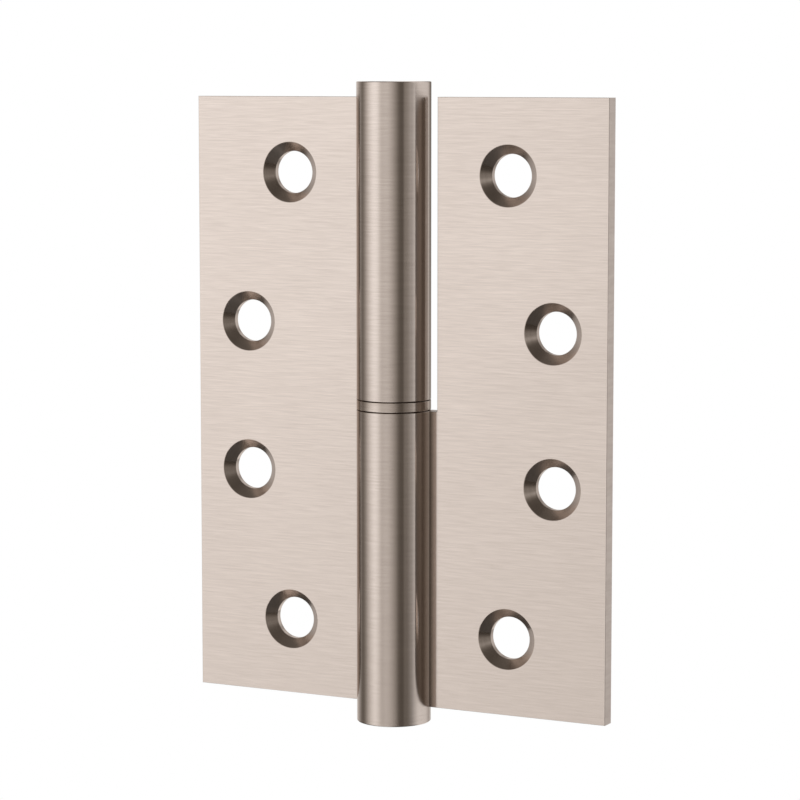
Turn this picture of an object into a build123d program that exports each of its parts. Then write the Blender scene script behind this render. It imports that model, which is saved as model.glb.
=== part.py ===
from build123d import *
import math
import os

# Lift-off hinge, 100 by 75 mm, laid flat open.
#
# The door half lifts off the frame half. Each half is a flat stamped leaf brazed into a milled seat
# in a turned barrel. The frame barrel is the lower one and holds the pin, pressed into a blind bore.
# The door barrel stands above it, turns on the pin and rests on a loose bearing washer.
#
# The pin axis is Z, and the origin is on it at mid-height. The leaves lie along X, the frame leaf at
# +X and the door leaf at -X. Their countersunk faces look forwards, to -Y.

# Leaves
leaf_height = 100.0
leaf_reach = 37.5  # from the pin axis to the leaf's outer edge
leaf_thickness = 2.5
closed_gap = 2.0  # between the countersunk faces when the hinge is shut
leaf_edge_break = 0.1

# Barrels
barrel_diameter = 12.2
barrel_overhang = 2.5  # what shows of each barrel past its leaf
barrel_end_wall = 5.0  # solid metal behind the full width of the blind bore
barrel_edge_break = 0.15
passing_gap = 1.32  # between a barrel and the edge of the other leaf
neck_setback = 0.15  # keeps the leaf's neck off the washer

# Bearing washer
washer_thickness = 1.7
washer_edge_break = 0.12
washer_bore_clearance = 0.1  # on the radius

# Pin and its bores
pin_diameter = 7.0
pin_headroom = 3.5  # from the pin's top to the end of the door barrel's bore
pin_foot_gap = 0.5  # air left under the pressed pin
pin_tip_chamfer = 1.0
pin_foot_chamfer = 0.4
vent_flat_depth = 0.25  # lets air out of both blind bores
running_clearance = 0.05  # on the radius, in the door barrel
bore_mouth_chamfer = 0.4
drill_point_angle = 118.0

# Screw holes, countersunk for flat heads
screw_hole_diameter = 7.0
countersink_diameter = 10.0
countersink_angle = 90.0
middle_screw_reach = 28.0  # from the pin axis to the two middle holes
end_screw_reach = 20.0  # from the pin axis to the two end holes
middle_screw_pitch = 25.0
end_screw_pitch = 75.0

# Sizes that follow from those above
leaf_front = closed_gap / 2
leaf_back = leaf_front + leaf_thickness
barrel_radius = barrel_diameter / 2
running_end = washer_thickness / 2
barrel_end = leaf_height / 2 + barrel_overhang
bore_end = barrel_end - barrel_end_wall
pin_radius = pin_diameter / 2
running_bore_radius = pin_radius + running_clearance
passing_edge = barrel_radius + passing_gap
neck_end = running_end + neck_setback

# The leaf's inner edge meets the barrel where the barrel's surface passes the leaf's back face
seat_depth = (barrel_radius**2 - leaf_back**2) ** 0.5


def turned(section):
    """Revolves a closed half-section of (radius, height) points about the pin axis."""
    with BuildPart() as piece:
        with BuildSketch(Plane.XZ):
            with BuildLine():
                Polyline(*section, close=True)
            make_face()
        revolve(axis=Axis.Z)
    return piece.part


def make_leaf():
    """The frame leaf: a plate with a neck that reaches its barrel beside the lower half."""
    with BuildPart() as leaf:
        with BuildSketch(Plane.XZ.offset(-leaf_back)):
            with Locations((seat_depth, 0)):
                Rectangle(leaf_reach - seat_depth, leaf_height, align=(Align.MIN, Align.CENTER))
            with Locations((seat_depth, -neck_end)):
                Rectangle(
                    passing_edge - seat_depth,
                    leaf_height / 2 + neck_end,
                    align=(Align.MIN, Align.MIN),
                    mode=Mode.SUBTRACT,
                )
        extrude(amount=leaf_thickness)

        face_edges = leaf.faces().filter_by(Axis.Y).edges()
        seated_edges = face_edges.group_by(Axis.X)[0]
        chamfer([edge for edge in face_edges if edge not in seated_edges], leaf_edge_break)

        end_rise = end_screw_pitch / 2
        middle_rise = middle_screw_pitch / 2
        screw_places = [
            (end_screw_reach, end_rise),
            (middle_screw_reach, middle_rise),
            (middle_screw_reach, -middle_rise),
            (end_screw_reach, -end_rise),
        ]
        with Locations(Plane.XZ.offset(-leaf_front)):
            with Locations(*screw_places):
                CounterSinkHole(
                    radius=screw_hole_diameter / 2,
                    counter_sink_radius=countersink_diameter / 2,
                    counter_sink_angle=countersink_angle,
                )
    return leaf.part


def make_barrel(bore_radius):
    """The lower barrel: turned all round, bored blind from its running end, milled for its leaf."""
    drill_point = bore_radius / math.tan(math.radians(drill_point_angle / 2))
    barrel = turned(
        [
            (bore_radius + bore_mouth_chamfer, -running_end),
            (barrel_radius - barrel_edge_break, -running_end),
            (barrel_radius, -running_end - barrel_edge_break),
            (barrel_radius, -barrel_end + barrel_edge_break),
            (barrel_radius - barrel_edge_break, -barrel_end),
            (0, -barrel_end),
            (0, -bore_end - drill_point),
            (bore_radius, -bore_end),
            (bore_radius, -running_end - bore_mouth_chamfer),
        ]
    )
    seat = Pos(seat_depth, leaf_front, -leaf_height / 2) * Box(
        barrel_radius, barrel_radius, leaf_height / 2, align=Align.MIN
    )
    return barrel - seat


def make_washer():
    """The washer between the barrels, which carries the door's weight."""
    bore_radius = pin_radius + washer_bore_clearance
    return turned(
        [
            (bore_radius, -running_end + washer_edge_break),
            (bore_radius + washer_edge_break, -running_end),
            (barrel_radius - washer_edge_break, -running_end),
            (barrel_radius, -running_end + washer_edge_break),
            (barrel_radius, running_end - washer_edge_break),
            (barrel_radius - washer_edge_break, running_end),
            (bore_radius + washer_edge_break, running_end),
            (bore_radius, running_end - washer_edge_break),
        ]
    )


def make_pin():
    """The pin, pressed to the foot of the frame barrel's bore, with a flat milled along it."""
    foot = -bore_end + pin_foot_gap
    tip = bore_end - pin_headroom
    pin = turned(
        [
            (0, foot),
            (pin_radius - pin_foot_chamfer, foot),
            (pin_radius, foot + pin_foot_chamfer),
            (pin_radius, tip - pin_tip_chamfer),
            (pin_radius - pin_tip_chamfer, tip),
            (0, tip),
        ]
    )
    flat = Pos(0, pin_radius - vent_flat_depth, foot) * Box(
        pin_diameter, pin_diameter, tip - foot, align=(Align.CENTER, Align.MIN, Align.MIN)
    )
    return pin - flat


# The door half is the frame half turned over about the front-to-back axis
turned_over = Rot(0, 180, 0)
leaf = make_leaf()
pieces = {
    "frame_leaf": leaf,
    "frame_barrel": make_barrel(pin_radius),
    "hinge_pin": make_pin(),
    "bearing_washer": make_washer(),
    "door_barrel": turned_over * make_barrel(running_bore_radius),
    "door_leaf": turned_over * leaf,
}

os.makedirs("parts", exist_ok=True)
for name, piece in pieces.items():
    export_step(piece, f"parts/{name}.step")
    print(name, round(piece.volume, 1), "cubic mm")
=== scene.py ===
# %% [markdown]
# # A lift-off hinge in satin nickel
#
# This lesson dresses a lift-off hinge, laid flat open. The CAD model gives the exact sizes, and
# each of its pieces is made again here as a clean mesh with softened edges and a finish of its own.
# The hinge has two flat leaves, two turned barrels, a washer between the barrels and a hidden pin.
#
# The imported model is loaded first. Every piece made below goes exactly where its CAD node is, so
# nothing has to be fitted by eye.

import math

import bmesh
import bpy
from mathutils import Matrix, Vector


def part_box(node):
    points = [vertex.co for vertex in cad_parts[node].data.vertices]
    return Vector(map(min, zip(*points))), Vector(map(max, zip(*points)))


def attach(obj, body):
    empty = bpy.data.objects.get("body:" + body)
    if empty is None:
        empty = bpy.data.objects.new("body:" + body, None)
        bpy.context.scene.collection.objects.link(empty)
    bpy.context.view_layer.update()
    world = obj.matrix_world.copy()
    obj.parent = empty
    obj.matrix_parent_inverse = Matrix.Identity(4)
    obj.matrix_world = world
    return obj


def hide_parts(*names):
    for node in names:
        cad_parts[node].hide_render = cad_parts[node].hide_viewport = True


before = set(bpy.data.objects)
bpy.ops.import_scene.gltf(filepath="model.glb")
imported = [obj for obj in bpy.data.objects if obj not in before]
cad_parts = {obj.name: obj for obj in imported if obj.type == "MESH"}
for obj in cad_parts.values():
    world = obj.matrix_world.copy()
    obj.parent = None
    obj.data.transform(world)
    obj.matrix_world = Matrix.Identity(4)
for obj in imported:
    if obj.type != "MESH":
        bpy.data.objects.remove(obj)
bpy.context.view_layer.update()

# %% [markdown]
# ## The camera
#
# A product photograph of a small part is taken from a distance through a long lens, so that
# vertical edges stay almost parallel. The camera stands to the right of the hinge and a little
# above its middle. The numbers come from matching the hinge's own edges and screw holes. A place,
# a lens and two angles are all it takes, and no lens shift is needed.

# %% Camera
CAMERA_PLACE = Vector((0.22460, -0.43078, 0.05407))
CAMERA_SENSOR = 36.0
CAMERA_LENS = 134.47
CAMERA_DROP = math.radians(6.2732)
CAMERA_TURN = math.radians(27.4185)

camera_data = bpy.data.cameras.new("photo_camera")
camera_data.sensor_width = CAMERA_SENSOR
camera_data.lens = CAMERA_LENS
camera = bpy.data.objects.new("photo_camera", camera_data)
camera.location = CAMERA_PLACE
camera.rotation_euler = (math.radians(90) - CAMERA_DROP, 0.0, CAMERA_TURN)
bpy.context.scene.collection.objects.link(camera)
bpy.context.scene.camera = camera

print("camera is", round(CAMERA_PLACE.length, 3), "m from the pin")

# %% [markdown]
# ## Sizes
#
# The outer sizes are read from the CAD boxes, so the dressed hinge can't drift away from the solid
# one. What a box can't tell, such as a bore inside a barrel or the places of the screw holes, is
# written below, where it is first needed. The pin's axis is Z and the origin is on it, half-way up.

# %% Sizes from the frame
MM = 0.001

leaf_low, leaf_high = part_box("frame_leaf")
barrel_low, barrel_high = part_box("frame_barrel")
pin_low, pin_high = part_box("hinge_pin")
washer_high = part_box("bearing_washer")[1]

LEAF_FRONT, LEAF_BACK = leaf_low.y, leaf_high.y
LEAF_REACH = leaf_high.x
LEAF_TOP = leaf_high.z
BARREL_RADIUS = -barrel_low.x
BARREL_END = barrel_low.z
RUNNING_END = barrel_high.z
PIN_RADIUS = pin_high.x
WASHER_HALF = washer_high.z

print("leaf", LEAF_REACH / MM, "mm wide from the axis", (LEAF_BACK - LEAF_FRONT) / MM, "mm thick")
print("barrel radius", round(BARREL_RADIUS / MM, 3), "mm")

# %% [markdown]
# ## Helpers for every mesh
#
# Each piece is built as a bmesh and handed to Blender once, with its place in its mesh and its
# object at the origin. Three things are done to all of them. The faces are turned outwards. Edges
# are marked sharp where the form turns, except inside the small roundings, which are tagged when
# they are made. And a UV map called grain is laid so that U runs across the grinding marks, because
# brushed metal blurs its reflections in that direction.

# %% Mesh helpers
SHARP_TURN = math.radians(10)


def round_edges(bm, edges, size, segments=3):
    """Rounds edges and tags the new faces, so that they are shaded as one soft form."""
    tag = bm.faces.layers.int.get("rounding") or bm.faces.layers.int.new("rounding")
    made = bmesh.ops.bevel(
        bm,
        geom=edges,
        offset=size,
        offset_type="OFFSET",
        segments=segments,
        profile=0.5,
        affect="EDGES",
        clamp_overlap=False,
        material=-1,
    )
    for face in made["faces"]:
        face[tag] = 1


def mark_sharp(bm):
    """Smooths gentle turns and roundings and keeps every other edge crisp."""
    tag = bm.faces.layers.int.get("rounding")
    for edge in bm.edges:
        both_round = tag is not None and all(face[tag] for face in edge.link_faces)
        edge.smooth = both_round or edge.calc_face_angle(0.0) < SHARP_TURN
    for face in bm.faces:
        face.smooth = True


def finish_mesh(bm, name, materials):
    """Turns the faces outwards, makes the object and gives it its materials."""
    bmesh.ops.recalc_face_normals(bm, faces=bm.faces)
    mark_sharp(bm)
    mesh = bpy.data.meshes.new(name)
    bm.to_mesh(mesh)
    open_edges = sum(not edge.is_manifold for edge in bm.edges)
    bm.free()
    piece = bpy.data.objects.new(name, mesh)
    bpy.context.scene.collection.objects.link(piece)
    for material in materials:
        mesh.materials.append(material)
    print(name, "has", len(mesh.polygons), "faces and", open_edges, "open edges")
    return piece


print("edges that turn by more than", round(math.degrees(SHARP_TURN)), "degrees stay crisp")

# %% [markdown]
# ## Helpers for every shader
#
# A shader is a tree of nodes, and most of the work is adding a node and feeding its inputs. Each
# input takes either a number or the output of another node, so one function does both. The short
# ones after it name the few kinds of node that this lesson uses again and again.

# %% Node helpers
NOISE_LOW, NOISE_HIGH = 0.3, 0.7


def add_node(tree, kind, inputs=None, **settings):
    """Adds a node, sets it up, feeds its inputs by label or place and gives back its outputs."""
    node = tree.nodes.new(kind)
    for name, value in settings.items():
        setattr(node, name, value)
    for label, value in (inputs or {}).items():
        if isinstance(value, bpy.types.NodeSocket):
            tree.links.new(value, node.inputs[label])
        else:
            node.inputs[label].default_value = value
    return node.outputs


def add_group(tree, group, inputs):
    """One use of a node group."""
    return add_node(tree, "ShaderNodeGroup", inputs, node_tree=group)


def math_node(tree, operation, *values):
    """Arithmetic on one to three values."""
    return add_node(tree, "ShaderNodeMath", dict(enumerate(values)), operation=operation)[0]


def split(tree, vector):
    """The X, Y and Z of a vector."""
    return add_node(tree, "ShaderNodeSeparateXYZ", {0: vector})


def join(tree, *values):
    """A vector from its X, Y and Z."""
    return add_node(tree, "ShaderNodeCombineXYZ", dict(enumerate(values)))[0]


def noise_node(tree, vector, scale, detail, roughness):
    """The value of a three-dimensional Noise Texture."""
    inputs = {"Vector": vector, "Scale": scale, "Detail": detail, "Roughness": roughness}
    return add_node(tree, "ShaderNodeTexNoise", inputs)["Fac"]


def map_range(tree, value, start, end, low=0.0, high=1.0, kind="SMOOTHSTEP"):
    """Goes from low to high while a value goes from start to end, softly or in a straight line."""
    labels = ("Value", "From Min", "From Max", "To Min", "To Max")
    inputs = dict(zip(labels, (value, start, end, low, high)))
    return add_node(tree, "ShaderNodeMapRange", inputs, interpolation_type=kind)["Result"]


def noise_range(tree, noise, low, high):
    """Maps the middle part of a noise, where nearly all of it lies, to the range low to high."""
    return map_range(tree, noise, NOISE_LOW, NOISE_HIGH, low, high, kind="LINEAR")


def mix_colours(tree, factor, first, second):
    """Mixes two colours."""
    inputs = {"Factor": factor, "A": first, "B": second}
    return add_node(tree, "ShaderNodeMix", inputs, data_type="RGBA")["Result"]


def new_group(name, inputs, outputs):
    """An empty shader group. An input without a default is a vector, and the rest are numbers."""
    group = bpy.data.node_groups.new(name, "ShaderNodeTree")
    for label, value in inputs.items():
        kind = "NodeSocketVector" if value is None else "NodeSocketFloat"
        socket = group.interface.new_socket(label, in_out="INPUT", socket_type=kind)
        if value is not None:
            socket.default_value = value
    for label in outputs:
        group.interface.new_socket(label, in_out="OUTPUT", socket_type="NodeSocketFloat")
    inside = group.nodes.new("NodeGroupInput").outputs
    outside = group.nodes.new("NodeGroupOutput").inputs
    return group, inside, outside


print("noise is used from", NOISE_LOW, "to", NOISE_HIGH)

# %% [markdown]
# ## Grinding marks
#
# Satin nickel gets its look from fine parallel marks. On the leaves they run from side to side, and
# on the barrels they run round, because both were held against the same kind of belt. A picture of
# marks would show seams, so they are made from noise that changes quickly up and down and slowly
# across. Read in object coordinates, the same noise flows over a leaf and round a barrel.
#
# The effect is used by several finishes, so it is a node group. Its inputs say how long and how
# thick the marks are, and it gives back a tone and a height. The tone also has longer, wider marks
# in it, from the same noise at a lower rate.

# %% Node group: grinding marks
LONG_MARKS_RATE = 0.45
LONG_MARKS_SHIFT = 17.0


def grinding_marks():
    """Parallel marks, quick along Z and slow along X and Y."""
    group, inside, outside = new_group(
        "grinding_marks",
        {"Vector": None, "Marks per metre": 3500.0, "Length ratio": 40.0, "Seed": 0.0},
        ["Tone", "Height"],
    )
    place = split(group, inside["Vector"])
    fine = inside["Marks per metre"]
    slow = math_node(group, "DIVIDE", fine, inside["Length ratio"])

    def layer(rate, shift):
        """One size of marks, by its rate beside the finest and the start of its noise."""
        across = math_node(group, "MULTIPLY", slow, rate)
        along = math_node(group, "MULTIPLY", fine, rate)
        start = math_node(group, "ADD", inside["Seed"], shift)
        stretched = join(
            group,
            math_node(group, "MULTIPLY_ADD", place["X"], across, start),
            math_node(group, "MULTIPLY", place["Y"], across),
            math_node(group, "MULTIPLY", place["Z"], along),
        )
        return noise_node(group, stretched, scale=1.0, detail=1.0, roughness=0.6)

    short_marks = layer(1.0, 0.0)
    long_marks = layer(LONG_MARKS_RATE, LONG_MARKS_SHIFT)
    both = math_node(group, "ADD", short_marks, long_marks)
    group.links.new(math_node(group, "MULTIPLY", both, 0.5), outside["Tone"])
    group.links.new(short_marks, outside["Height"])
    return group


GRINDING_MARKS = grinding_marks()
print("group", GRINDING_MARKS.name, "has", len(GRINDING_MARKS.nodes), "nodes")

# %% [markdown]
# ## Tool rings
#
# A countersink is cut by a turning tool, which leaves fine rings round the hole. The same rings are
# on the faced ends of the barrels, the washer and the pin. The group reads the grain UV map, where
# U is the distance across the rings and V the angle round the axis. Sine and cosine of that angle
# join the two ends of the turn, so that the noise has no seam.

# %% Node group: tool rings


def tool_rings():
    """Rings round an axis, from a UV map with the angle in V."""
    group, inside, outside = new_group(
        "tool_rings",
        {"Vector": None, "Rings per metre": 6000.0, "Unevenness": 0.6},
        ["Tone", "Height"],
    )
    place = split(group, inside["Vector"])
    uneven = inside["Unevenness"]
    around = join(
        group,
        math_node(group, "MULTIPLY", math_node(group, "COSINE", place["Y"]), uneven),
        math_node(group, "MULTIPLY", math_node(group, "SINE", place["Y"]), uneven),
        math_node(group, "MULTIPLY", place["X"], inside["Rings per metre"]),
    )
    rings = noise_node(group, around, scale=1.0, detail=2.0, roughness=0.5)
    group.links.new(rings, outside["Tone"])
    group.links.new(rings, outside["Height"])
    return group


TOOL_RINGS = tool_rings()
print("group", TOOL_RINGS.name, "has", len(TOOL_RINGS.nodes), "nodes")

# %% [markdown]
# ## Handling
#
# No metal part is perfectly even. Fingers, oil and the lacquer leave soft patches up to a
# centimetre or two across, which show as slightly duller or brighter areas. This group gives one
# faint mask for them, and every finish uses it.

# %% Node group: handling patches


def handling_patches():
    """Soft uneven patches."""
    group, inside, outside = new_group(
        "handling_patches", {"Vector": None, "Patches per metre": 60.0}, ["Mask"]
    )
    rate = inside["Patches per metre"]
    patches = noise_node(group, inside["Vector"], rate, detail=2.0, roughness=0.5)
    group.links.new(patches, outside["Mask"])
    return group


HANDLING_PATCHES = handling_patches()
print("group", HANDLING_PATCHES.name, "has", len(HANDLING_PATCHES.nodes), "nodes")

# %% [markdown]
# ## The corner beside the barrel
#
# Painted shade darkens the inside corner between a leaf and its barrel: a darker colour is mixed
# into the leaf's own there. The group measures the distance from the pin's axis along X and gives
# back a mask, full at one distance and gone at another. Faint noise breaks up its edge.

# %% Node group: painted corner shade
CORNER_SHADE_SPOTS_PER_METRE = 900.0
CORNER_SHADE_RAGGED_EDGE = 0.6 * MM


def corner_painted_shade():
    """A mask for the painted shade on the strip of a leaf that lies beside the barrel."""
    group, inside, outside = new_group(
        "corner_painted_shade", {"Vector": None, "Full at": 6.0 * MM, "Gone at": 8.0 * MM}, ["Mask"]
    )
    place = inside["Vector"]
    uneven = noise_node(group, place, CORNER_SHADE_SPOTS_PER_METRE, detail=2.0, roughness=0.5)
    from_axis = math_node(group, "ABSOLUTE", split(group, place)["X"])
    ragged = math_node(group, "MULTIPLY_ADD", uneven, CORNER_SHADE_RAGGED_EDGE, from_axis)
    mask = map_range(group, ragged, inside["Gone at"], inside["Full at"])
    group.links.new(mask, outside["Mask"])
    return group


CORNER_PAINTED_SHADE = corner_painted_shade()
print("group", CORNER_PAINTED_SHADE.name, "has", len(CORNER_PAINTED_SHADE.nodes), "nodes")

# %% [markdown]
# ## Finishes
#
# All of the hinge is metal, so every finish is a Principled shader with Metallic at 1 and a warm
# grey base colour. What tells them apart is the direction, depth and fineness of the marks. One
# function wires them up: the tone of the marks mixes two close shades of nickel, and the same tone
# and the handling mask move the roughness a little. The bump is kept very low, since the real marks
# are only a few thousandths of a millimetre deep.
#
# Anisotropy stretches the blur along U of the grain map, across the marks. It is a plain number on
# the shader's own socket, because it's the same all over. The specular tint is the colour that the
# metal takes at a grazing view.

# %% The function that makes a finish
NICKEL_LIGHT = (0.80, 0.698, 0.632)
NICKEL_DARK = (0.71, 0.615, 0.554)
NICKEL_GRAZING = (0.68, 0.65, 0.63, 1.0)
LEAF_GRAZING = (0.42, 0.42, 0.43, 1.0)
# The colour of the painted shade in the corner beside the barrel.
CORNER_SHADE_COLOUR = (0.46, 0.42, 0.39)
PATCH_ROUGHNESS = 0.02


def metal_colour(tree, place, tone, dark, light, corner_shade):
    """Two shades by the tone of the marks, and painted shade in the corner if its two limits are
    given.
    """
    colour = mix_colours(tree, noise_range(tree, tone, 0.0, 1.0), (*dark, 1.0), (*light, 1.0))
    if not corner_shade:
        return colour
    inputs = {"Vector": place, "Full at": corner_shade[0], "Gone at": corner_shade[1]}
    corner = add_group(tree, CORNER_PAINTED_SHADE, inputs)["Mask"]
    return mix_colours(tree, corner, colour, (*CORNER_SHADE_COLOUR, 1.0))


def metal_finish(
    name, marks, values, dark, light, rough, bump, stretch, grazing=NICKEL_GRAZING, corner_shade=None
):
    """A metal with marks from a group, two shades, a roughness range and a stretched blur."""
    material = bpy.data.materials.new(name)
    material.use_nodes = True
    tree = material.node_tree
    shader = tree.nodes["Principled BSDF"].inputs
    shader["Metallic"].default_value = 1.0
    shader["Anisotropic"].default_value = stretch
    shader["Specular Tint"].default_value = grazing

    place = add_node(tree, "ShaderNodeTexCoord")["Object"]
    read = place
    if marks == TOOL_RINGS:
        read = add_node(tree, "ShaderNodeUVMap", uv_map="grain")["UV"]
    grain = add_group(tree, marks, {"Vector": read, **values})
    colour = metal_colour(tree, place, grain["Tone"], dark, light, corner_shade)
    tree.links.new(colour, shader["Base Color"])

    spots = add_group(tree, HANDLING_PATCHES, {"Vector": place})["Mask"]
    grain_rough = noise_range(tree, grain["Tone"], *rough)
    patch_rough = noise_range(tree, spots, -PATCH_ROUGHNESS, PATCH_ROUGHNESS)
    tree.links.new(math_node(tree, "ADD", grain_rough, patch_rough), shader["Roughness"])

    inputs = {"Height": grain["Height"], "Distance": bump, "Strength": 1.0}
    relief = add_node(tree, "ShaderNodeBump", inputs)
    tree.links.new(relief["Normal"], shader["Normal"])
    across = add_node(tree, "ShaderNodeTangent", direction_type="UV_MAP", uv_map="grain")
    tree.links.new(across["Tangent"], shader["Tangent"])
    print("finish", name, "base", light, "roughness", rough)
    return material


print("nickel is", NICKEL_LIGHT, "where it is light and", NICKEL_DARK, "where it is dark")

# %% [markdown]
# The leaves and barrels share one satin nickel and differ in the length of their marks. The sheared
# edges are duller and coarser. What a tool has turned is a little darker and carries rings. The
# slits beside the washer get a dark brown, which is painted shade where little light gets in, and
# the pin is plain ground steel.

# %% The finishes of this hinge
MICRON = 0.001 * MM

LEAF_FACE = metal_finish(
    "leaf_face_satin",
    GRINDING_MARKS,
    {"Marks per metre": 8000.0, "Length ratio": 27.0},
    dark=NICKEL_DARK,
    light=NICKEL_LIGHT,
    rough=(0.17, 0.14),
    bump=2 * MICRON,
    stretch=0.9,
    grazing=LEAF_GRAZING,
    # Painted shade darkens the face near the barrel, full at 6.1 mm from the axis and gone at 8.2
    # mm.
    corner_shade=(6.1 * MM, 8.2 * MM),
)
LEAF_EDGE = metal_finish(
    "leaf_edge_sheared",
    GRINDING_MARKS,
    {"Marks per metre": 2200.0, "Length ratio": 6.0, "Seed": 3.0},
    dark=(0.70, 0.61, 0.555),
    light=(0.79, 0.70, 0.64),
    rough=(0.42, 0.34),
    bump=3 * MICRON,
    stretch=0.4,
    # Painted shade darkens the sheared edges near the barrel, full at 8 mm from the axis and gone
    # at 10 mm.
    corner_shade=(8.0 * MM, 10.0 * MM),
)
BARREL_SIDE = metal_finish(
    "barrel_side_satin",
    GRINDING_MARKS,
    {"Marks per metre": 8000.0, "Length ratio": 21.0, "Seed": 11.0},
    dark=NICKEL_DARK,
    light=NICKEL_LIGHT,
    rough=(0.17, 0.13),
    bump=2 * MICRON,
    stretch=0.9,
)
WASHER_RIM = metal_finish(
    "washer_rim_satin",
    GRINDING_MARKS,
    {"Marks per metre": 4200.0, "Length ratio": 20.0, "Seed": 23.0},
    dark=(0.68, 0.58, 0.51),
    light=(0.78, 0.68, 0.61),
    rough=(0.24, 0.19),
    bump=3 * MICRON,
    stretch=0.9,
)
TURNED_NICKEL = metal_finish(
    "turned_nickel",
    TOOL_RINGS,
    {"Rings per metre": 5000.0},
    dark=(0.60, 0.51, 0.453),
    light=(0.70, 0.605, 0.542),
    rough=(0.17, 0.13),
    bump=3 * MICRON,
    stretch=0.85,
)
# The slits' dark brown is painted shade, where little light gets in.
SEAM_PAINTED_SHADE = metal_finish(
    "seam_painted_shade",
    TOOL_RINGS,
    {"Rings per metre": 4000.0},
    dark=(0.34, 0.22, 0.15),
    light=(0.50, 0.34, 0.24),
    rough=(0.5, 0.36),
    bump=3 * MICRON,
    stretch=0.3,
)
PIN_STEEL = metal_finish(
    "pin_ground_steel",
    TOOL_RINGS,
    {"Rings per metre": 3000.0},
    dark=(0.50, 0.50, 0.50),
    light=(0.62, 0.62, 0.61),
    rough=(0.26, 0.18),
    bump=2 * MICRON,
    stretch=0.7,
)

# %% [markdown]
# ## The leaves
#
# A leaf is stamped from 2.5 mm strip. It is a tall plate with a neck, a narrow step beside its own
# barrel, and four countersunk screw holes. Cutting the holes with booleans would leave long thin
# faces, so the plate is built round them. The outline is extruded and its rims are rounded. Then
# each hole's wall is spun round the hole's axis, and the two flat faces are taken off and filled
# again round the rings.
#
# The neck's inner edge is hollowed to fit the round barrel, where the real one is brazed. The other
# leaf is the same blank turned over, so one function makes both.

# %% The plate and its neck
PASSING_EDGE = 7.42 * MM
NECK_TOP = -1.0 * MM
LEAF_EDGE_BREAK = 0.05 * MM
BRAZE_DEPTH = 0.03 * MM
COPE_CUTS = 6
NEAR = 0.005 * MM
FLAT_FACING = 0.99


def plate_outline(bm):
    """The leaf's outline on its front face, as one face."""
    inner = math.sqrt(BARREL_RADIUS**2 - LEAF_BACK**2)
    corners = [
        (inner, -LEAF_TOP),
        (LEAF_REACH, -LEAF_TOP),
        (LEAF_REACH, LEAF_TOP),
        (PASSING_EDGE, LEAF_TOP),
        (PASSING_EDGE, NECK_TOP),
        (inner, NECK_TOP),
    ]
    return bm.faces.new([bm.verts.new((x, LEAF_FRONT, z)) for x, z in corners])


def rim_edges(bm):
    """The edges round the two flat faces, without those that lie against the barrel."""
    inner = min(vert.co.x for vert in bm.verts)
    flats = [face for face in bm.faces if abs(face.normal.y) > FLAT_FACING]
    return [
        edge
        for face in flats
        for edge in face.edges
        if any(vert.co.x > inner + NEAR for vert in edge.verts)
    ]


def make_plate(bm):
    """Extrudes the outline to the leaf's thickness and rounds its rims."""
    outline = plate_outline(bm)
    made = bmesh.ops.extrude_face_region(bm, geom=[outline])["geom"]
    moved = [part for part in made if isinstance(part, bmesh.types.BMVert)]
    bmesh.ops.translate(bm, verts=moved, vec=(0.0, LEAF_BACK - LEAF_FRONT, 0.0))
    bmesh.ops.recalc_face_normals(bm, faces=bm.faces)
    bm.normal_update()
    round_edges(bm, rim_edges(bm), LEAF_EDGE_BREAK, segments=2)


def cope_inner_edge(bm):
    """Cuts the leaf's inner edge to the round of the barrel."""
    inner = min(vert.co.x for vert in bm.verts) + NEAR
    half_through = (LEAF_BACK - LEAF_FRONT) / 2
    through = [
        edge
        for edge in bm.edges
        if all(vert.co.x < inner for vert in edge.verts)
        and abs(edge.verts[0].co.y - edge.verts[1].co.y) > half_through
    ]
    bmesh.ops.subdivide_edges(bm, edges=through, cuts=COPE_CUTS, use_grid_fill=True)
    reach = BARREL_RADIUS - BRAZE_DEPTH
    for vert in bm.verts:
        if vert.co.x < inner:
            vert.co.x = math.sqrt(reach**2 - vert.co.y**2)


print("a leaf passes the other barrel", round((PASSING_EDGE - BARREL_RADIUS) / MM, 2), "mm away")

# %% [markdown]
# Each hole takes a flat-head wood screw: a 90 degree countersink, 10 mm across at the face, that
# runs down to a 7 mm hole. Its wall is one profile of five points, from the lip at the front to the
# lip at the back, spun through a full turn. The lips are tiny, but they catch the light as a thin
# line, which a knife-sharp edge never does.

# %% Screw holes
HOLE_RADIUS = 3.5 * MM
SINK_RADIUS = 5.0 * MM
LIP = 0.06 * MM
LIP_DROP = 0.4 * LIP
HOLE_STEPS = 96
SCREW_PLACES = [
    (20.0 * MM, 37.5 * MM),
    (28.0 * MM, 12.5 * MM),
    (28.0 * MM, -12.5 * MM),
    (20.0 * MM, -37.5 * MM),
]


def full_turn(bm, parts, centre, axis, steps):
    """Spins points and edges once round an axis and merges them where the turn closes."""
    bmesh.ops.spin(
        bm, geom=parts, cent=centre, axis=axis, angle=math.tau, steps=steps, use_merge=True
    )


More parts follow.
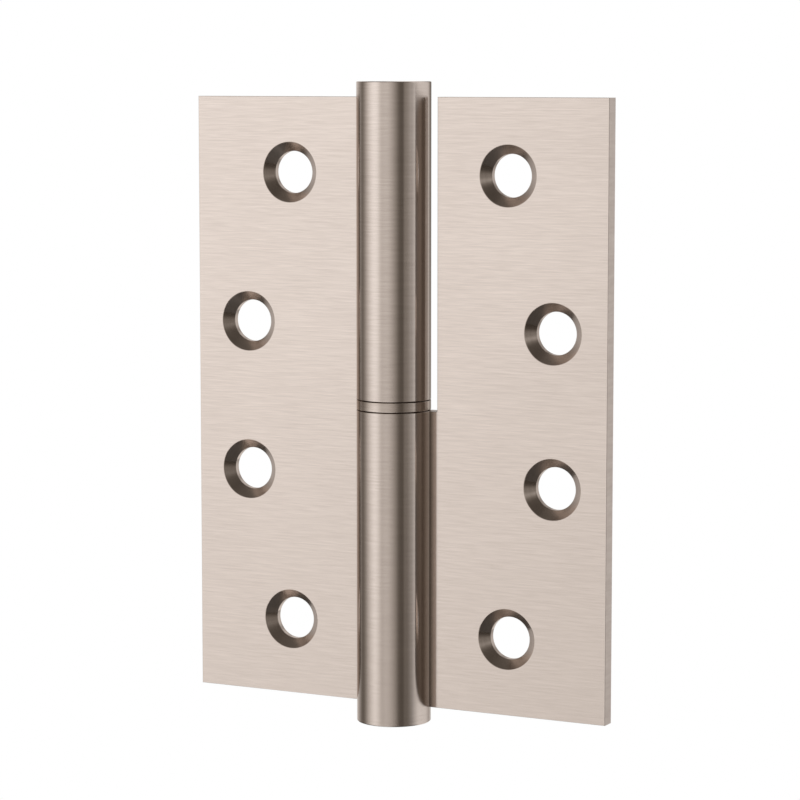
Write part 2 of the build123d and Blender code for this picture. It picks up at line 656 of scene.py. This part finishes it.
def hole_wall(bm, x, z):
    """Spins a countersunk hole's wall and gives back its front and back rings of edges."""
    sink_depth = SINK_RADIUS - HOLE_RADIUS
    profile = [
        (SINK_RADIUS + LIP, LEAF_FRONT),
        (SINK_RADIUS - LIP_DROP, LEAF_FRONT + LIP_DROP),
        (HOLE_RADIUS, LEAF_FRONT + sink_depth),
        (HOLE_RADIUS, LEAF_BACK - LIP),
        (HOLE_RADIUS + LIP, LEAF_BACK),
    ]
    verts = [bm.verts.new((x + radius, y, z)) for radius, y in profile]
    wall = [bm.edges.new(pair) for pair in zip(verts, verts[1:])]
    before = set(bm.edges)
    full_turn(bm, verts + wall, (x, 0.0, z), (0.0, 1.0, 0.0), HOLE_STEPS)
    made = [edge for edge in bm.edges if edge not in before or edge in wall]
    return [
        [edge for edge in made if all(abs(vert.co.y - y) < NEAR for vert in edge.verts)]
        for y in (LEAF_FRONT, LEAF_BACK)
    ]


def fill_flat(bm, y, rings):
    """Takes off the flat face at y and fills it again round the holes."""
    flat = max(
        (face for face in bm.faces if abs(face.calc_center_median().y - y) < NEAR),
        key=lambda face: face.calc_area(),
    )
    border = list(flat.edges)
    bmesh.ops.delete(bm, geom=[flat], context="FACES_ONLY")
    bmesh.ops.triangle_fill(bm, use_beauty=True, edges=border + rings)


print("each leaf has", len(SCREW_PLACES), "screw holes")

# %% [markdown]
# Three finishes meet on a leaf: the ground faces, the sheared edges, and the holes, which are cut
# by a turning tool. Each face gets its material by where it is and which way it looks. In the same
# pass it gets its grain map, so that U runs up the face, across an edge, or down a hole's wall.

# %% Finish and grain of a leaf
FACE, EDGE, SINK = 0, 1, 2


def nearest_hole(point):
    """The screw hole that a point of the leaf lies in, or None."""
    for x, z in SCREW_PLACES:
        if math.hypot(point.x - x, point.z - z) < SINK_RADIUS + LIP:
            return x, z
    return None


def angle_near(middle, rise, run):
    """A point's angle round an axis, on the same turn as the middle of its face."""
    return middle + math.remainder(math.atan2(rise, run) - middle, math.tau)


def lay_leaf_grain(bm):
    """Gives every face of a leaf its material and its grain map."""
    grain = bm.loops.layers.uv.new("grain")
    for face in bm.faces:
        centre, normal = face.calc_center_median(), face.normal
        hole = nearest_hole(centre)
        flat = abs(normal.y) > FLAT_FACING
        face.material_index = FACE if flat else SINK if hole else EDGE
        for loop in face.loops:
            point = loop.vert.co
            if flat:
                loop[grain].uv = (point.z, point.x)
            elif hole:
                x, z = hole
                middle = math.atan2(centre.z - z, centre.x - x)
                angle = angle_near(middle, point.z - z, point.x - x)
                loop[grain].uv = (point.y * math.sqrt(2), angle)
            else:
                loop[grain].uv = (point.y, point.z if abs(normal.x) > abs(normal.z) else point.x)


def make_leaf(name):
    """One leaf, beside the lower barrel."""
    bm = bmesh.new()
    make_plate(bm)
    cope_inner_edge(bm)
    walls = [hole_wall(bm, x, z) for x, z in SCREW_PLACES]
    for side, y in enumerate((LEAF_FRONT, LEAF_BACK)):
        fill_flat(bm, y, [edge for rings in walls for edge in rings[side]])
    bmesh.ops.recalc_face_normals(bm, faces=bm.faces)
    bm.normal_update()
    lay_leaf_grain(bm)
    return finish_mesh(bm, name, [LEAF_FACE, LEAF_EDGE, TURNED_NICKEL])


TURN_OVER = Matrix.Rotation(math.pi, 4, "Y")

frame_plate = make_leaf("frame_plate")
door_plate = make_leaf("door_plate")
door_plate.data.transform(TURN_OVER)

# %% [markdown]
# ## The turned pieces
#
# The barrels, the washer and the pin come off a lathe, and in Blender a lathe is the spin operator.
# Half of the section is drawn as a few points in the XZ plane and spun once round Z. Full turns are
# merged where they close. A hundred and forty-four steps keep the outline round even in a close
# view, and the bands of reflected light on a barrel show every flat spot.
#
# Two thin slits part the washer from the barrels. They are cut into the rims of all three pieces,
# and painted shade darkens them.

# %% The lathe
LATHE_STEPS = 144
MERGE_DISTANCE = 0.0005 * MM
SEAM_RELIEF = 0.07 * MM
SEAM_DEPTH = 1.0 * MM
SEAM_EDGE_BREAK = 0.08 * MM
BARREL_EDGE_BREAK = 0.15 * MM
END_FACING = 0.5


def spin_section(section, closed=False):
    """Spins a half-section of (radius, height) points about the pin's axis."""
    bm = bmesh.new()
    verts = [bm.verts.new((radius, 0.0, height)) for radius, height in section]
    pairs = list(zip(verts, verts[1:])) + ([(verts[-1], verts[0])] if closed else [])
    edges = [bm.edges.new(pair) for pair in pairs]
    full_turn(bm, verts + edges, (0.0, 0.0, 0.0), (0.0, 0.0, 1.0), LATHE_STEPS)
    bmesh.ops.remove_doubles(bm, verts=bm.verts, dist=MERGE_DISTANCE)
    bmesh.ops.recalc_face_normals(bm, faces=bm.faces)
    bm.normal_update()
    return bm


def ring_edges(bm, radius, height):
    """The edges of one ring, by its radius and height."""
    return [
        edge
        for edge in bm.edges
        if all(
            abs(vert.co.z - height) < NEAR and abs(vert.co.xy.length - radius) < NEAR
            for vert in edge.verts
        )
    ]


def in_seam(point):
    """Tells whether a point lies in the thin slit beside the washer."""
    deep = BARREL_RADIUS - point.xy.length
    past_washer = abs(point.z) + RUNNING_END
    return SEAM_EDGE_BREAK < deep < SEAM_DEPTH + NEAR and past_washer < SEAM_RELIEF + NEAR


def lay_turned_grain(bm, side, end, seam=None):
    """U runs along the piece on its sides and outwards on its ends, and V is the angle."""
    grain = bm.loops.layers.uv.new("grain")
    bm.normal_update()
    for face in bm.faces:
        centre = face.calc_center_median()
        facing_end = abs(face.normal.z) > END_FACING
        outside = centre.xy.length > BARREL_RADIUS - BARREL_EDGE_BREAK
        face.material_index = side if outside and not facing_end else end
        if seam is not None and in_seam(centre):
            face.material_index = seam
        middle = math.atan2(centre.y, centre.x)
        for loop in face.loops:
            point = loop.vert.co
            angle = angle_near(middle, point.y, point.x)
            loop[grain].uv = (point.xy.length if facing_end else point.z, angle)


print("the slits are", SEAM_RELIEF / MM, "mm high and", SEAM_DEPTH / MM, "mm deep")

# %% [markdown]
# A barrel is bar stock, bored blind from the end that runs on the washer. Its outer end is closed,
# which is why no pin or plug shows there. The bore ends in the cone that a drill leaves. The frame
# barrel holds the pin tightly and the door barrel turns on it, so their bores differ by a hair.

# %% Barrels
BORE_END = 47.5 * MM
BORE_MOUTH = 0.4 * MM
RUNNING_CLEARANCE = 0.05 * MM
DRILL_POINT_ANGLE = math.radians(118)


def make_barrel(name, bore):
    """The lower barrel, with its outer end closed."""
    rim = RUNNING_END - SEAM_RELIEF
    drill_point = bore / math.tan(DRILL_POINT_ANGLE / 2)
    bm = spin_section(
        [
            (0.0, BARREL_END),
            (BARREL_RADIUS, BARREL_END),
            (BARREL_RADIUS, rim),
            (BARREL_RADIUS - SEAM_DEPTH, rim),
            (BARREL_RADIUS - SEAM_DEPTH, RUNNING_END),
            (bore + BORE_MOUTH, RUNNING_END),
            (bore, RUNNING_END - BORE_MOUTH),
            (bore, -BORE_END),
            (0.0, -BORE_END - drill_point),
        ]
    )
    round_edges(bm, ring_edges(bm, BARREL_RADIUS, BARREL_END), BARREL_EDGE_BREAK)
    round_edges(bm, ring_edges(bm, BARREL_RADIUS, rim), SEAM_EDGE_BREAK)
    lay_turned_grain(bm, 0, 1, seam=2)
    return finish_mesh(bm, name, [BARREL_SIDE, TURNED_NICKEL, SEAM_PAINTED_SHADE])


frame_knuckle = make_barrel("frame_knuckle", PIN_RADIUS)
door_knuckle = make_barrel("door_knuckle", PIN_RADIUS + RUNNING_CLEARANCE)
door_knuckle.data.transform(TURN_OVER)

# %% [markdown]
# The washer carries the weight of the door. It is a plain ring, as wide as the barrels, with a
# rounded rim. A film of oil, far too thin to see, keeps its faces off the barrels, so that nothing
# grinds through anything as the door turns.

# %% Washer
WASHER_BORE = PIN_RADIUS + 0.1 * MM
OIL_FILM = 0.005 * MM

washer_face = WASHER_HALF - OIL_FILM
washer_rim = WASHER_HALF - SEAM_RELIEF
bm = spin_section(
    [
        (WASHER_BORE, -washer_face),
        (BARREL_RADIUS - SEAM_DEPTH, -washer_face),
        (BARREL_RADIUS - SEAM_DEPTH, -washer_rim),
        (BARREL_RADIUS, -washer_rim),
        (BARREL_RADIUS, washer_rim),
        (BARREL_RADIUS - SEAM_DEPTH, washer_rim),
        (BARREL_RADIUS - SEAM_DEPTH, washer_face),
        (WASHER_BORE, washer_face),
    ],
    closed=True,
)
washer_rims = [
    edge
    for radius, height in ((WASHER_BORE, washer_face), (BARREL_RADIUS, washer_rim))
    for side in (-1, 1)
    for edge in ring_edges(bm, radius, side * height)
]
round_edges(bm, washer_rims, SEAM_EDGE_BREAK)
lay_turned_grain(bm, 0, 1, seam=2)
washer_ring = finish_mesh(bm, "washer_ring", [WASHER_RIM, TURNED_NICKEL, SEAM_PAINTED_SHADE])

# %% [markdown]
# The pin is a ground rod with a tapered tip, which guides the door half when it is dropped on. A
# flat along its back lets the air out of the bores, and it's cut by bisecting the rod and filling
# the opening.

# %% Pin
PIN_TIP_CHAMFER = 1.0 * MM
PIN_FOOT_CHAMFER = 0.4 * MM

bm = spin_section(
    [
        (0.0, pin_low.z),
        (PIN_RADIUS - PIN_FOOT_CHAMFER, pin_low.z),
        (PIN_RADIUS, pin_low.z + PIN_FOOT_CHAMFER),
        (PIN_RADIUS, pin_high.z - PIN_TIP_CHAMFER),
        (PIN_RADIUS - PIN_TIP_CHAMFER, pin_high.z),
        (0.0, pin_high.z),
    ]
)
cut = bmesh.ops.bisect_plane(
    bm,
    geom=list(bm.verts) + list(bm.edges) + list(bm.faces),
    plane_co=(0.0, pin_high.y, 0.0),
    plane_no=(0.0, 1.0, 0.0),
    clear_outer=True,
)
flat_border = [part for part in cut["geom_cut"] if isinstance(part, bmesh.types.BMEdge)]
bmesh.ops.edgeloop_fill(bm, edges=flat_border)
lay_turned_grain(bm, 0, 0)
pin_rod = finish_mesh(bm, "pin_rod", [PIN_STEEL])

# %% [markdown]
# ## Which piece moves with what
#
# Each new piece rides on a CAD body and stands for one CAD node. The pin is pressed into the frame
# barrel, so it stays when the door half is lifted off, and so does the washer, which turns freely.

# %% Ride and replace
PIECES = [
    (frame_plate, "frame_half", "frame_leaf", "leaf_nickel"),
    (frame_knuckle, "frame_half", "frame_barrel", "barrel_nickel"),
    (pin_rod, "frame_half", "hinge_pin", "pin_steel"),
    (washer_ring, "washer", "bearing_washer", "washer_nickel"),
    (door_plate, "door_half", "door_leaf", "leaf_nickel"),
    (door_knuckle, "door_half", "door_barrel", "barrel_nickel"),
]
for piece, body, node, slot in PIECES:
    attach(piece, body)
    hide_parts(node)
    print(piece.name, "rides on", body, "and stands for", node)

# %% [markdown]
# ## The studio
#
# Polished and satin metal has hardly any colour of its own. What we see on the barrel is the room:
# bright panels, and the dark gaps between them. So the light is a ring of soft panels painted in
# the world shader by direction. Azimuth 0 is straight in front of the hinge and grows to the right.
# Each panel has a middle, a half width, a soft edge and a level, where 1 is white. It ends at a
# bottom and a top, and it may taper away from the horizon.

# %% Node group: one soft panel
SOFT_ENDS = 8.0
PANEL_NUMBERS = ("Middle", "Half width", "Soft edge", "Level", "Bottom", "Top", "Taper")
PANEL_INPUTS = ("Azimuth", "Elevation", "Light", *PANEL_NUMBERS)


def studio_panel():
    """Lays one soft-edged panel over the light that is already there."""
    group, inside, outside = new_group(
        "studio_panel", dict.fromkeys(PANEL_INPUTS, 0.0), ["Light"]
    )
    apart = math_node(group, "SUBTRACT", inside["Azimuth"], inside["Middle"])
    apart = math_node(group, "ABSOLUTE", math_node(group, "WRAP", apart, 180.0, -180.0))
    height = math_node(group, "ABSOLUTE", inside["Elevation"])
    narrowed = math_node(group, "MULTIPLY", height, inside["Taper"])
    half_width = math_node(group, "SUBTRACT", inside["Half width"], narrowed)
    outer = math_node(group, "ADD", half_width, inside["Soft edge"])
    inner = math_node(group, "SUBTRACT", half_width, inside["Soft edge"])
    across = map_range(group, apart, outer, inner)
    ends = []
    for label, outwards in (("Bottom", -SOFT_ENDS), ("Top", SOFT_ENDS)):
        limits = [math_node(group, "ADD", inside[label], way) for way in (outwards, -outwards)]
        ends.append(map_range(group, inside["Elevation"], *limits))
    cover = math_node(group, "MULTIPLY", across, math_node(group, "MULTIPLY", *ends))
    inputs = {"Factor": cover, "A": inside["Light"], "B": inside["Level"]}
    group.links.new(add_node(group, "ShaderNodeMix", inputs)["Result"], outside["Light"])
    return group


STUDIO_PANEL = studio_panel()
print("group", STUDIO_PANEL.name, "has", len(STUDIO_PANEL.nodes), "nodes")

# %% [markdown]
# The panels were read off the hinge in the photograph. Each band on a barrel and each wall of a
# countersink mirrors one direction of the room. A big panel stands in front on the left and a
# dimmer one in front on the right. Further right comes a dark gap, with a dim upright strip and one
# small bright patch in it. Later panels lie over earlier ones.

# %% The ring of panels
PANELS = [
    # middle, half width, soft edge, level, bottom, top, taper
    (-34.0, 29.5, 27.0, 1.06, -40.0, 50.0, 0.5),
    (16.0, 32.0, 11.0, 0.69, -20.0, 50.0, 0.5),
    (56.0, 28.0, 25.0, 0.125, -28.0, 90.0, 0.0),
    (70.0, 17.0, 7.0, 0.10, -90.0, -14.0, 0.0),
    (70.0, 12.0, 4.0, 0.26, -11.0, 26.0, 0.0),
    (74.0, 11.0, 5.0, 0.70, 8.0, 16.0, 0.0),
]
RING_BASE = 0.18

world = bpy.data.worlds.new("studio")
bpy.context.scene.world = world
world.use_nodes = True
sky = world.node_tree
background = sky.nodes["Background"].inputs

direction = split(sky, add_node(sky, "ShaderNodeTexCoord")["Generated"])
forwards = math_node(sky, "MULTIPLY", direction["Y"], -1.0)
azimuth = math_node(sky, "DEGREES", math_node(sky, "ARCTAN2", direction["X"], forwards))
elevation = math_node(sky, "DEGREES", math_node(sky, "ARCSINE", direction["Z"]))


def ring_of_panels(panels, light):
    """Lays panels one over another on a plain level and gives back the light."""
    for numbers in panels:
        inputs = dict(zip(PANEL_INPUTS, (azimuth, elevation, light, *numbers)))
        light = add_group(sky, STUDIO_PANEL, inputs)["Light"]
    return light


panel_light = ring_of_panels(PANELS, RING_BASE)
print("the ring has", len(PANELS), "panels on a base of", RING_BASE)

# %% [markdown]
# The panels are brightest at the height of the hinge. The light falls off gently upwards and more
# quickly downwards, so a leaf is a little darker at its foot than at its head. Green and blue are
# raised to slightly higher powers than red, which leaves white as it is and warms the dark gaps.

# %% Fall-off by height
# elevation from and to, and the share of light at each
FADE_BELOW = (-34.0, 0.0, 0.48, 1.0)
FADE_ABOVE = (10.0, 60.0, 1.0, 0.65)
WARMTH = {"Red": 1.0, "Green": 1.05, "Blue": 1.11}

below = map_range(sky, elevation, *FADE_BELOW)
above = map_range(sky, elevation, *FADE_ABOVE)
ring = math_node(sky, "MULTIPLY", panel_light, math_node(sky, "MULTIPLY", below, above))
channels = {channel: math_node(sky, "POWER", ring, power) for channel, power in WARMTH.items()}
warm_light = add_node(sky, "ShaderNodeCombineColor", channels)["Color"]
print("light left at the foot and at the head:", FADE_BELOW[2], FADE_ABOVE[3])

# %% [markdown]
# The backdrop is plain white. The camera sees it all round, and so does anything seen through
# glass. The metal sees it where it stands, so the glossy rays get a mask: full white behind to the
# left, a little less behind to the right, and a narrow dark stand between them, which draws the
# thin dark line down the right side of the barrels. To the right of the stand the paper gets dimmer
# upwards, so the walls of the screw holes get darker downwards.
#
# The paper curves over the top of the set from behind. That canopy lights the top ends and edges,
# and the front of the hinge doesn't mirror it. Its limits are parts of the direction along each
# axis, from where it starts to where it is full.

# %% The white backdrop
WHITE = (1.0, 1.0, 1.0, 1.0)
BACKDROP = [
    # middle, half width, soft edge, share of white, bottom, top, taper
    (-149.0, 46.0, 22.0, 0.66, -26.0, 50.0, 0.4),
    (-156.0, 34.0, 8.0, 1.00, -40.0, 60.0, 0.3),
    (129.0, 45.0, 24.0, 0.70, -40.0, 50.0, 0.6),
    (-177.0, 15.0, 8.0, 0.12, -9.0, 30.0, 0.0),
    (162.0, 22.0, 14.0, 0.30, 20.0, 60.0, 0.0),
]
CANOPY_LEVEL = 0.85
CANOPY_UP = (0.3, 0.6)
CANOPY_BACK = (-0.10, 0.12)
CANOPY_RIGHT = (-0.45, -0.15)


def seen_white(tree, in_metal):
    """How much of a white shows: all to the camera and through glass, and a share in metal."""
    rays = add_node(tree, "ShaderNodeLightPath")
    direct = math_node(tree, "MAXIMUM", rays["Is Camera Ray"], rays["Is Transmission Ray"])
    mirrored = math_node(tree, "MULTIPLY", rays["Is Glossy Ray"], in_metal)
    return math_node(tree, "MAXIMUM", direct, mirrored)


behind = ring_of_panels(BACKDROP, 0.0)
canopy = map_range(sky, direction["Z"], *CANOPY_UP, 0.0, CANOPY_LEVEL)
canopy = math_node(sky, "MULTIPLY", canopy, map_range(sky, direction["Y"], *CANOPY_BACK))
canopy = math_node(sky, "MULTIPLY", canopy, map_range(sky, direction["X"], *CANOPY_RIGHT))
paper = math_node(sky, "MAXIMUM", behind, canopy)
room = mix_colours(sky, seen_white(sky, paper), warm_light, WHITE)
sky.links.new(room, background["Color"])
background["Strength"].default_value = 1.0
print("the studio has", len(PANELS), "panels and", len(BACKDROP), "parts of backdrop")

# %% [markdown]
# ## The floor
#
# The hinge is held well above a pale floor, so its shadow is soft and stays out of the photograph's
# view. Other views show it.

# %% Floor disc
FLOOR_DROP = 0.25
FLOOR_RADIUS = 0.5
FLOOR_SEGMENTS = 96

bm = bmesh.new()
bmesh.ops.create_circle(
    bm,
    cap_ends=True,
    radius=FLOOR_RADIUS,
    segments=FLOOR_SEGMENTS,
    matrix=Matrix.Translation((0.0, 0.0, -FLOOR_DROP)),
)
floor_mesh = bpy.data.meshes.new("floor")
bm.to_mesh(floor_mesh)
bm.free()
floor = bpy.data.objects.new("floor", floor_mesh)
bpy.context.scene.collection.objects.link(floor)
print("the floor is", FLOOR_DROP, "m below the hinge's middle and", 2 * FLOOR_RADIUS, "m across")

# %% [markdown]
# A painted floor isn't perfectly even, so faint noise mixes two close shades. To be white without
# more light on the hinge, the paint also glows, but only for camera and transmission rays, and for
# glossy rays where the floor lies in the panels' light. The glow grows towards the rim, where the
# floor runs into the white backdrop as a studio's paper sweep does. A band of floor under the hinge
# and to its right stays in shade for the metal, because the upper sides of the countersinks mirror
# it and are dark in the photograph.

# %% Floor paint
FLOOR_DARK, FLOOR_LIGHT = (0.33, 0.33, 0.33, 1.0), (0.38, 0.38, 0.38, 1.0)
FLOOR_ROUGHNESS = 0.9
FLOOR_PATCHES_PER_METRE = 9.0
GLOW_MIDDLE, GLOW_RIM = 0.83, 0.95
GLOW_START = 0.4 * FLOOR_RADIUS
SHADE_SLANT = 0.8
LIT_IN_FRONT = (-0.07, -0.15)
LIT_BEHIND = (0.08, 0.17)

floor_paint = bpy.data.materials.new("floor_pale")
floor_paint.use_nodes = True
paint = floor_paint.node_tree
floor_shader = paint.nodes["Principled BSDF"].inputs
floor_shader["Roughness"].default_value = FLOOR_ROUGHNESS
floor_shader["Emission Color"].default_value = WHITE

place = add_node(paint, "ShaderNodeTexCoord")["Object"]
uneven = noise_node(paint, place, FLOOR_PATCHES_PER_METRE, detail=3.0, roughness=0.5)
shade = mix_colours(paint, noise_range(paint, uneven, 0.0, 1.0), FLOOR_DARK, FLOOR_LIGHT)
paint.links.new(shade, floor_shader["Base Color"])

on_floor = split(paint, place)
squares = [math_node(paint, "POWER", on_floor[axis], 2.0) for axis in ("X", "Y")]
from_middle = math_node(paint, "SQRT", math_node(paint, "ADD", *squares))
sweep = map_range(paint, from_middle, GLOW_START, FLOOR_RADIUS, GLOW_MIDDLE, GLOW_RIM)

to_right = math_node(paint, "MAXIMUM", on_floor["X"], 0.0)
to_left = math_node(paint, "MINIMUM", on_floor["X"], 0.0)
front_line = math_node(paint, "MULTIPLY_ADD", to_right, SHADE_SLANT, on_floor["Y"])
back_line = math_node(paint, "MULTIPLY_ADD", to_left, SHADE_SLANT, on_floor["Y"])
lit_in_front = map_range(paint, front_line, *LIT_IN_FRONT)
lit_behind = map_range(paint, back_line, *LIT_BEHIND)
lit = math_node(paint, "MAXIMUM", lit_in_front, lit_behind)

glow = math_node(paint, "MULTIPLY", seen_white(paint, lit), sweep)
paint.links.new(glow, floor_shader["Emission Strength"])
floor_mesh.materials.append(floor_paint)
print("the floor's glow grows from", GLOW_MIDDLE, "to", GLOW_RIM)

# %% [markdown]
# ## Colour
#
# The Standard view transform shows colours as they are written.

# %% Colour
bpy.context.scene.view_settings.view_transform = "Standard"
